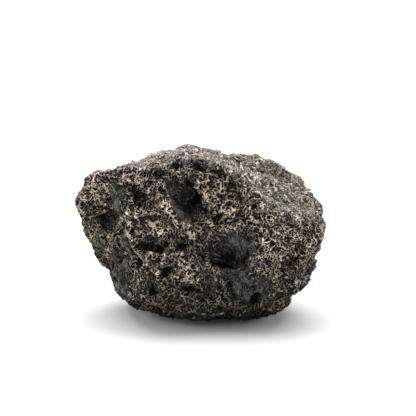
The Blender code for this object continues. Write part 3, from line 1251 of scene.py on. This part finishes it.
@dataclass(frozen=True)
class Stone:
    """The whole stone: its mesh, cut with its dents and with the pattern of its crust.

    Attributes:
        node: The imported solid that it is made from.
        weld: How close two points of the solid are to be one.
        rounding: How many times its facets are divided to round them.
        voxel: The size of the squares that its surface is remeshed with.
        face: The best face, which the dents lie on.
        ragged: The size of the bumps in a dent's outline, in millimetres.
        raggedness: How far they push it, as a share of its radius.
        fine_ragged: The size and the push of the finer bumps, as shares of those.
        ragged_reach: How far out from a dent's middle its outline is ragged, in radii.
        slope: How steeply a dent's side falls.
        foot: How high what is pressed down to the floor may reach.
        triangles: How many triangles are kept.
        pattern: The pattern of its crust.
        survey: What measures its hollows.
    """

    node: str = "meteorite"
    weld: float = 1e-6
    rounding: int = 2
    voxel: float = 0.2 * MM
    face: BestFace = BestFace()
    ragged: float = 2.6
    raggedness: float = 0.45
    fine_ragged: tuple = (0.4, 0.5)
    ragged_reach: float = 2.0
    slope: float = 1.5
    foot: float = 0.06 * MM
    triangles: int = 190_000
    pattern: CrustPattern = CrustPattern()
    survey: Survey = Survey()

    def build(self) -> bpy.types.Object:
        """Makes the stone.

        Returns:
            The finished stone, without its finish.
        """
        stone = self.rounded_copy()
        remesh(stone, self.voxel)
        self.cut_dents(stone.data)
        surveyed = self.survey.measure(stone)
        relief = stone.modifiers.new("relief", "NODES")
        relief.node_group = Cutter(self.pattern).tree(surveyed)
        settle(stone)
        LOG.info("cut with %d faces", len(stone.data.polygons))
        self.thin(stone)
        self.level_foot(stone.data)
        stone.data.shade_smooth()
        bpy.data.objects.remove(surveyed)
        LOG.info("stone has %d triangles", len(stone.data.polygons))
        return stone

    def rounded_copy(self) -> bpy.types.Object:
        """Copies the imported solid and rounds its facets.

        Returns:
            The rounded stone.
        """
        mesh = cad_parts[self.node].data.copy()
        mesh.materials.clear()
        stone = bpy.data.objects.new("stone", mesh)
        bpy.context.scene.collection.objects.link(stone)
        weld = stone.modifiers.new("weld", "WELD")
        weld.merge_threshold = self.weld
        rounded = stone.modifiers.new("round", "SUBSURF")
        rounded.levels = rounded.render_levels = self.rounding
        settle(stone)
        return stone

    def cut_dents(self, mesh: bpy.types.Mesh) -> None:
        """Cuts every dent into the mesh, each along the way that the stone faces there.

        Args:
            mesh: The evenly meshed stone.
        """
        points = read_vectors(mesh.vertices, "co")
        bare = search_tree(mesh, points)
        ragged = self.raggedness * self.bumps(points)
        cut = np.zeros(len(points))
        for dent in DENTS:
            hit, normal = self.face.struck(bare, dent)
            spread = dent.spread(points, hit, normal)
            spread = np.clip(spread + ragged * (spread < self.ragged_reach), 0, None)
            share = np.clip(1.0 - spread ** (2 * dent.crisp), 0, 1) ** self.slope
            points -= dent.depth * MM * share[:, None] * normal
            cut += dent.depth * share
        keep(mesh, Kept.CUT, Kind.NUMBER, cut)
        move_vertices(mesh, points)

    def bumps(self, points: np.ndarray) -> np.ndarray:
        """The bumps that make a dent's outline ragged.

        Args:
            points: Where they are read, in metres.

        Returns:
            For each point a value about 0.
        """
        size, push = self.fine_ragged
        bumps = np.array([noise.noise(Vector(point)) for point in points / (self.ragged * MM)])
        fine = np.array([noise.noise(Vector(point)) for point in points / (size * self.ragged * MM)])
        return bumps + push * fine

    def thin(self, stone: bpy.types.Object) -> None:
        """Thins the mesh out to the triangles that are kept.

        Args:
            stone: The cut stone, all of squares.
        """
        thin = stone.modifiers.new("thin", "DECIMATE")
        thin.ratio = self.triangles / (2 * len(stone.data.polygons))
        thin.use_collapse_triangulate = True
        settle(stone)

    def level_foot(self, mesh: bpy.types.Mesh) -> None:
        """Presses the foot level with the floor.

        Args:
            mesh: The stone's mesh.
        """
        points = read_vectors(mesh.vertices, "co")
        points[points[:, 2] < self.foot, 2] = 0.0
        move_vertices(mesh, points)


@dataclass(frozen=True)
class Reading:
    """What the finish reads at a place.

    Attributes:
        lie: How the place lies.
        relief: The crust's pattern there.
        cut: How deep the dents were cut there, in millimetres.
        dip: How far it lies below the points around it, in millimetres.
        grit: A fine random pattern about 0.5.
        wear: A wider one.
    """

    lie: Lie
    relief: Relief
    cut: Signal
    dip: Signal
    grit: Signal
    wear: Signal

    GRIT_SIZE = 0.26  # in millimetres
    WEAR_SIZE = 2.2  # in millimetres

    @classmethod
    def read(cls, graph: FinishGraph, pattern: CrustPattern) -> Reading:
        """Reads all that the stone keeps, and its pattern.

        Args:
            graph: The tree that is added to.
            pattern: The pattern that cut the mesh.

        Returns:
            What was read.
        """
        lie = Lie.read(graph)
        return cls(
            lie=lie,
            relief=pattern.read(lie),
            cut=graph.known_number(Kept.CUT),
            dip=graph.known_number(Kept.DIP),
            grit=lie.rest.noise(cls.GRIT_SIZE, 1.0),
            wear=lie.rest.noise(cls.WEAR_SIZE, 3.0),
        )


@dataclass(frozen=True)
class Wear:
    """Where the crust is worn: on the rims that stand proud, and above all on the crests.

    The first fields, down to sunk_loss, say how much a place is a crest. The rest say how proud it
    stands, to which each share adds and from which each loss takes away.

    Attributes:
        hill_span: How deep in a hollow a place is no hill, and is a full one, in millimetres.
        hill_share: How much a hill counts.
        top_span: How far below its neighbours a point is no top, and is a full one, in millimetres.
        top_share: How much a top counts.
        flat_share: How much any place counts.
        ridge_span: How deep a dent is where it is no ridge, and is a full one, in millimetres.
        ridge_share: How much a ridge counts.
        broad_size: The size of the broad places that are worn more or less, in millimetres.
        broad_span: The values of their pattern for the least wear and the most.
        broad_share: How much more they are worn.
        underside_shade: How much the crest share is cut where the stone faces down, which darkens the
            underside as painted shade.
        patchy: How uneven the wear is.
        lip_share: How much a ledge's edge counts.
        sunk_loss: How much less the inside of a wide pore or bowl is worn.
        rim_share: How proud a rim stands.
        speck_size: The size of the specks that the wear breaks up into, in millimetres.
        speck_share: How much they count.
        grit_share: How much the finest grit counts.
        crest_limit: The most that a crest can count, before its share is taken.
        crest_share: How much a crest counts.
        floor_loss: How much less a smooth floor counts.
        pore_loss: How much less the inside of a wide pore or bowl counts.
        bulge_span: How deep in a hollow a place is no bulge, and is a full one, in millimetres.
        bulge_loss: How much less a bulge counts.
    """

    hill_span: Span = (1.4, -1.0)
    hill_share: float = 0.2
    top_span: Span = (0.3, -0.3)
    top_share: float = 0.4
    flat_share: float = 0.2
    ridge_span: Span = (0.0, -0.5)
    ridge_share: float = 0.7
    broad_size: float = 9.0
    broad_span: Span = (0.3, 0.65)
    broad_share: float = 0.2
    underside_shade: float = 0.6
    patchy: float = 0.5
    lip_share: float = 0.15
    sunk_loss: float = 0.6
    rim_share: float = 0.8
    speck_size: float = 0.5
    speck_share: float = 0.6
    grit_share: float = 0.4
    crest_limit: float = 1.2
    crest_share: float = 0.26
    floor_loss: float = 0.3
    pore_loss: float = 0.2
    bulge_span: Span = (0.0, -1.2)
    bulge_loss: float = 0.04

    def crest(self, at: Reading) -> Signal:
        """How much a place is a crest.

        Args:
            at: What was read at the place.

        Returns:
            About 0 in a hollow and about 1 on a crest.
        """
        hill = at.lie.hollow.step(*self.hill_span) * self.hill_share
        top = at.dip.step(*self.top_span) * self.top_share
        ridge = at.cut.step(*self.ridge_span) * self.ridge_share
        crest = hill + top + self.flat_share + ridge
        broad = at.lie.rest.noise(self.broad_size).step(*self.broad_span) * self.broad_share
        # painted shade: the crest share is cut where the stone faces down, so the underside stays darker
        crest = crest * (broad + (1.0 - self.broad_share)) * (1.0 - at.lie.under * self.underside_shade)
        crest = crest + (at.wear - 0.5) * self.patchy + at.relief.lip * self.lip_share
        return crest * (1.0 - at.relief.sunk * self.sunk_loss)

    def proud(self, at: Reading, crest: Signal) -> Signal:
        """How proud a place stands, which is how soon it is worn.

        Args:
            at: What was read at the place.
            crest: How much it is a crest.

        Returns:
            How proud it stands, from about 0 to about 1.
        """
        specks = (at.lie.rest.noise(self.speck_size) - 0.5) * self.speck_share
        proud = at.relief.rim * self.rim_share + specks + (at.grit - 0.5) * self.grit_share
        proud = proud + crest.smaller(self.crest_limit) * self.crest_share
        proud = proud - at.lie.floor * self.floor_loss - at.relief.sunk * self.pore_loss
        return proud - at.lie.hollow.step(*self.bulge_span) * self.bulge_loss


@dataclass(frozen=True)
class Ground:
    """The crust that isn't worn, with painted shade in its pores and creases.

    Attributes:
        pore: The near-black inside the pores: the crust's own black, deepened as painted shade.
        body: The colour of the crust between them.
        lee: The colour of the finer crust of the lee side, made a little paler as painted top light.
        thread: The pale colour of the threads between that side's furrows, partly painted top light.
        thread_span: How far up from a furrow a thread starts, and is whole.
        thread_share: How much of their colour the threads have.
        floor: The colour of the folds of a smooth floor.
        swirl_span: How high on a fold its colour starts, and is whole.
        grain_span: How far up from a furrow of the floor it starts, and is whole.
        grain_share: How much the furrows count beside the folds.
        fold_share: How much both count beside what follows.
        fold_patchy: How uneven the folds are.
        fold_loss: What is taken from them all over.
        fold_span: The sums of all this that give none of the colour, and all of it.
        dust: The colour of the fine dust that lies in specks on all of it.
        dust_span: The values of the grit where a speck starts, and is whole.
        dust_share: How much of its colour the dust has.
        crease_shade: How much painted shade a crease has, as a share of a pore.
    """

    pore: tuple = (0.004, 0.0035, 0.003, 1.0)
    body: tuple = (0.014, 0.0128, 0.012, 1.0)
    lee: tuple = (0.015, 0.0145, 0.0145, 1.0)
    thread: tuple = (0.62, 0.56, 0.505, 1.0)
    thread_span: Span = (0.2, 1.0)
    thread_share: float = 0.55
    floor: tuple = (0.225, 0.207, 0.193, 1.0)
    swirl_span: Span = (0.6, 1.0)
    grain_span: Span = (0.3, 1.0)
    grain_share: float = 0.8
    fold_share: float = 0.9
    fold_patchy: float = 1.2
    fold_loss: float = 0.15
    fold_span: Span = (0.0, 0.9)
    dust: tuple = (0.06, 0.053, 0.048, 1.0)
    dust_span: Span = (0.55, 0.68)
    dust_share: float = 0.5
    crease_shade: float = 0.85

    def colour(self, at: Reading) -> Signal:
        """The colour of a place that isn't worn.

        Args:
            at: What was read at the place.

        Returns:
            The colour.
        """
        lie, relief = at.lie, at.relief
        off_floor = 1.0 - lie.floor
        # the up-facing lee side is a little paler: finer crust, and partly painted top light
        ground = (lie.lee * off_floor).mix(self.body, self.lee)
        ground = lie.floor.mix(ground, self.folds(at).mix(self.body, self.floor))
        ground = (at.grit.step(*self.dust_span) * self.dust_share).mix(ground, self.dust)
        # the lee side's pale threads: furrowed crust, and partly painted top light
        threads = (1.0 - relief.streak).step(*self.thread_span) * lie.lee * off_floor
        ground = (threads * self.thread_share).mix(ground, self.thread)
        # painted shade: the pores and the creases at the feet of the ledges are mixed towards near-black
        return relief.pit.larger(relief.crease * self.crease_shade).mix(ground, self.pore)

    def folds(self, at: Reading) -> Signal:
        """How much of the folds' colour a place on a smooth floor has.

        Args:
            at: What was read at the place.

        Returns:
            The share, from 0 to 1.
        """
        grain = (1.0 - at.relief.grain).step(*self.grain_span) * self.grain_share
        fold = at.relief.swirl.step(*self.swirl_span).larger(grain) * self.fold_share
        fold = fold + (at.wear - 0.5) * self.fold_patchy + (at.grit - 0.5) - self.fold_loss
        return fold.step(*self.fold_span)


@dataclass(frozen=True)
class PaintedShade:
    """Painted shade that darkens deep places and the foot, each by where it starts and where it is whole.

    Attributes:
        hollow_span: How deep in a hollow, in millimetres.
        dip_span: How far below the points around, in millimetres.
        cut_span: How deep in a dent, in millimetres.
        deep_share: How dark those three are.
        foot_span: How high above the floor, in millimetres.
        foot_share: How dark the foot is.
    """

    hollow_span: Span = (1.8, 4.7)
    dip_span: Span = (0.25, 0.9)
    cut_span: Span = (0.2, 1.5)
    deep_share: float = 0.92
    foot_span: Span = (8.0, 1.0)
    foot_share: float = 0.95

    def share(self, at: Reading) -> Signal:
        """How much painted shade a place has.

        Args:
            at: What was read at the place.

        Returns:
            The share, from 0 to 1.
        """
        deep = at.lie.hollow.step(*self.hollow_span).larger(at.dip.step(*self.dip_span))
        deep = deep.larger(at.cut.step(*self.cut_span)) * self.deep_share
        return deep.larger(at.lie.rest.part("Z").step(*self.foot_span) * self.foot_share)


@dataclass(frozen=True)
class CrustFinish:
    """Dark fusion crust, black in its pores with painted shade, and worn to beige on its rims.

    Attributes:
        pattern: The pattern that cut the mesh.
        wear: Where it is worn.
        ground: Its colour where it isn't.
        painted_shade: The painted shade of its deep places and of its foot.
        bar: How proud a rim has to stand before it is worn.
        worn_over: How far above the bar it is fully worn.
        scuffed_under: How far below the bar it starts to be scuffed.
        scuffed: The colour of rims that are only just worn.
        rim: The colour of the worn rims.
        pale: The colour of the most worn of them.
        pale_crest: How much a crest counts towards that, beside the wear.
        pale_span: The sums of both where the pale colour starts, and is whole.
        grey_and_top_light: The paler colour of the worn rims of the lee side, partly painted top light.
        grey_share: How much of that colour they have.
        rough: The roughness of the crust.
        floor_shine: How much less rough a smooth floor is.
        gloss: How strongly it shines.
        bump: How strongly the finest relief shows.
        bump_height: How high that relief is.
        bump_parts: How much of it are the rims, the pores, the grit and a floor's furrows.
    """

    pattern: CrustPattern
    wear: Wear = Wear()
    ground: Ground = Ground()
    painted_shade: PaintedShade = PaintedShade()
    bar: float = 0.635
    worn_over: float = 0.15
    scuffed_under: float = 0.2
    scuffed: tuple = (0.1, 0.085, 0.073, 1.0)
    rim: tuple = (0.4, 0.33, 0.255, 1.0)
    pale: tuple = (0.78, 0.665, 0.53, 1.0)
    pale_crest: float = 0.3
    pale_span: Span = (0.5, 0.95)
    grey_and_top_light: tuple = (0.62, 0.56, 0.505, 1.0)
    grey_share: float = 0.7
    rough: float = 0.75
    floor_shine: float = 0.2
    gloss: float = 0.05
    bump: float = 0.9
    bump_height: float = 0.35 * MM
    bump_parts: tuple = (0.5, 0.5, 0.3, 0.5)

    def build(self) -> bpy.types.Material:
        """Writes the material.

        Returns:
            The crust's material.
        """
        graph = FinishGraph("crust")
        at = Reading.read(graph, self.pattern)
        sockets = {
            "Base Color": self.colour(at),
            "Roughness": self.rough - at.lie.floor * self.floor_shine,
            "Normal": self.fine_relief(graph, at),
            "Specular IOR Level": self.gloss,
        }
        return graph.surface(sockets)

    def colour(self, at: Reading) -> Signal:
        """The crust's colour at a place.

        Args:
            at: What was read at the place.

        Returns:
            The colour.
        """
        crest = self.wear.crest(at)
        proud = self.wear.proud(at, crest)
        scuffed = proud.step(self.bar - self.scuffed_under, self.bar)
        ground = scuffed.mix(self.ground.colour(at), self.scuffed)
        pale = (at.wear + crest * self.pale_crest).step(*self.pale_span)
        # worn rims on the up-facing lee side turn paler grey: partly real, partly painted top light
        worn = (at.lie.lee * self.grey_share).mix(pale.mix(self.rim, self.pale), self.grey_and_top_light)
        colour = proud.step(self.bar, self.bar + self.worn_over).mix(ground, worn)
        # painted shade: hollows, dips, deep dents and the foot near the floor are mixed towards the pore
        # black
        return self.painted_shade.share(at).mix(colour, self.ground.pore)

    def fine_relief(self, graph: Graph, at: Reading) -> Signal:
        """The relief that is finer than the mesh.

        Args:
            graph: The tree that is added to.
            at: What was read at the place.

        Returns:
            The way that the surface faces.
        """
        rim, pit, grit, grain = self.bump_parts
        relief = at.relief.rim * rim - at.relief.pit * pit + at.grit * grit
        relief = relief - at.relief.grain * at.lie.floor * grain
        sockets = {"Strength": self.bump, "Distance": self.bump_height, "Height": relief}
        return graph.add("ShaderNodeBump", {}, sockets)


@dataclass(frozen=True)
class FloorFinish:
    """A plain pale floor with the faintest clouding.

    Attributes:
        dark: Its darker colour.
        pale: Its paler colour.
        clouds: How many clouds there are to the metre.
        rough: Its roughness.
        gloss: How strongly it shines.
    """

    dark: tuple = (0.6, 0.595, 0.585, 1.0)
    pale: tuple = (0.63, 0.625, 0.615, 1.0)
    clouds: float = 30.0
    rough: float = 0.75
    gloss: float = 0.2

    def build(self) -> bpy.types.Material:
        """Writes the material.

        Returns:
            The floor's material.
        """
        graph = FinishGraph("floor")
        place = graph.add("ShaderNodeTexCoord", {}, {}, "Object")
        clouds = {"Vector": place, "Scale": self.clouds, "Detail": 2.0}
        colour = graph.add("ShaderNodeTexNoise", {}, clouds).mix(self.dark, self.pale)
        sockets = {"Base Color": colour, "Roughness": self.rough, "Specular IOR Level": self.gloss}
        return graph.surface(sockets)


@dataclass(frozen=True)
class Lamp:
    """A soft square lamp.

    Attributes:
        name: Its name.
        place: Where it hangs.
        size: The side of its square.
        watts: Its power.
    """

    name: str
    place: tuple
    size: float
    watts: float

    def hang(self, aim: tuple) -> None:
        """Hangs the lamp.

        Args:
            aim: Where it shines to.
        """
        lamp = bpy.data.lights.new(self.name, "AREA")
        lamp.size = self.size
        lamp.energy = self.watts
        hung = bpy.data.objects.new(self.name, lamp)
        hung.location = self.place
        hung.rotation_euler = (Vector(aim) - Vector(self.place)).to_track_quat("-Z", "Y").to_euler()
        bpy.context.scene.collection.objects.link(hung)


@dataclass(frozen=True)
class Studio:
    """A plain pale floor, soft light from above, and the camera.

    Attributes:
        heart: The stone's heart, which the camera and the lamps are aimed by.
        elevation: How far the camera looks down, in degrees.
        distance: How far the camera stands from the heart.
        sensor: The width of the camera's sensor, in millimetres.
        pixel: The size of a pixel at the heart.
        heart_pixel: Where the heart lies in the picture, in pixels.
        floor_half: Half the side of the floor.
        surroundings: How bright the pale surroundings are.
        lamps: The lamps.
    """

    heart: tuple = HEART
    elevation: float = FACE_TILT
    distance: float = 0.75
    sensor: float = 36.0
    pixel: float = 0.2811 * MM
    heart_pixel: tuple = (200.5, 235.0)
    floor_half: float = 1.5
    surroundings: float = 0.13
    lamps: tuple = (
        Lamp("top", (0.0, 0.35, 1.0), 1.6, 38.0),
        Lamp("front", (-0.1, -1.0, 0.5), 1.0, 3.0),
        Lamp("left", (-1.0, 0.0, 0.35), 0.8, 13.0),
        Lamp("right", (1.0, 0.0, 0.35), 0.8, 8.0),
    )

    def camera(self) -> bpy.types.Object:
        """Sets up the camera.

        Returns:
            The camera, already the scene's own.
        """
        tilt = math.radians(self.elevation)
        right = Vector((1.0, 0.0, 0.0))
        up = Vector((0.0, math.sin(tilt), math.cos(tilt)))
        out = Vector((0.0, -math.cos(tilt), math.sin(tilt)))
        middle = IMAGE_SIDE / 2
        aim = Vector(self.heart)
        aim += right * (middle - self.heart_pixel[0]) * self.pixel
        aim += up * (self.heart_pixel[1] - middle) * self.pixel
        lens = bpy.data.cameras.new("camera")
        lens.sensor_width = self.sensor
        lens.lens = self.sensor / 2 * self.distance / (middle * self.pixel)
        camera = bpy.data.objects.new("camera", lens)
        camera.location = aim + out * self.distance
        camera.rotation_euler = (-out).to_track_quat("-Z", "Y").to_euler()
        bpy.context.scene.collection.objects.link(camera)
        bpy.context.scene.camera = camera
        return camera

    def floor(self) -> bpy.types.Object:
        """Lays the floor.

        Returns:
            The floor.
        """
        half = self.floor_half
        mesh = bpy.data.meshes.new("floor")
        corners = [(-half, -half, 0.0), (half, -half, 0.0), (half, half, 0.0), (-half, half, 0.0)]
        mesh.from_pydata(corners, [], [(0, 1, 2, 3)])
        mesh.materials.append(FloorFinish().build())
        floor = bpy.data.objects.new("floor", mesh)
        bpy.context.scene.collection.objects.link(floor)
        return floor

    def light(self) -> None:
        """Hangs the soft lamps and sets the pale surroundings."""
        world = bpy.data.worlds.new("studio")
        world.use_nodes = True
        graph = Graph(world.node_tree)
        pale = {"Color": (1.0, 1.0, 1.0, 1.0), "Strength": self.surroundings}
        graph.add("ShaderNodeOutputWorld", {}, {"Surface": graph.add("ShaderNodeBackground", {}, pale)})
        bpy.context.scene.world = world
        for lamp in self.lamps:
            lamp.hang(self.heart)
        view = bpy.context.scene.view_settings
        view.view_transform = "Standard"
        view.look = "None"


def main() -> None:
    """Builds the studio, then the stone and its finish, and fixes the stone to the frame."""
    logging.basicConfig(level=logging.INFO, format="%(name)s: %(message)s")
    studio = Studio()
    studio.camera()
    studio.floor()
    studio.light()
    LOG.info("studio is set")
    stone = Stone()
    piece = stone.build()
    piece.data.materials.append(CrustFinish(stone.pattern).build())
    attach(piece, "root")
    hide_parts(stone.node)
    LOG.info("stone is finished")


if __name__ == "__main__":
    main()
